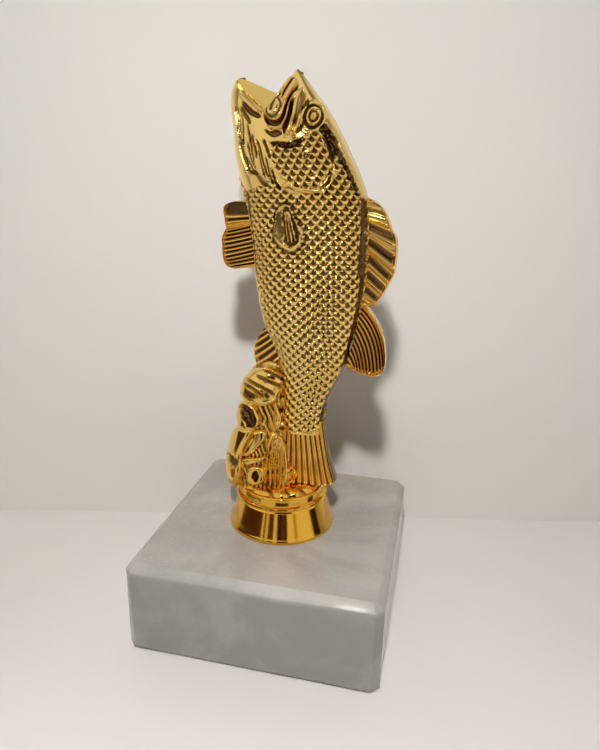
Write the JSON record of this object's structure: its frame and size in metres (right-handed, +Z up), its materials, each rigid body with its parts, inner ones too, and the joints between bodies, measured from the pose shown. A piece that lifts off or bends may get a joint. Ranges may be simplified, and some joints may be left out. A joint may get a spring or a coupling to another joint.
{
  "type": "fish trophy figurine",
  "caption": "Gilt bass standing on its tail with an open mouth, on a round flared pedestal screwed to a square bevelled marble block, as a trophy or ornament.",
  "frame": {"origin": "on the table, under the centre of the square block", "axes": "+Z up; -Y is the front of the block and the fish's left side; the fish's back faces +X and its belly -X"},
  "size_m": [0.08, 0.08, 0.1726],
  "materials": {
    "marble": "polished pale grey marble, softly clouded",
    "gilt_plastic": "vacuum-metallised plastic under a clear gold lacquer",
    "zinc_steel": "bright zinc-plated steel",
    "felt": "black self-adhesive felt"
  },
  "bodies": {
    "root": {"marble_block": "marble", "left_shell": "gilt_plastic", "right_shell": "gilt_plastic", "stud": "zinc_steel", "captive_nut": "zinc_steel", "flat_washer": "zinc_steel", "lock_washer": "zinc_steel", "clamp_nut": "zinc_steel", "felt_pad_front_left": "felt", "felt_pad_front_right": "felt", "felt_pad_back_left": "felt", "felt_pad_back_right": "felt"}
  },
  "joints": []
}
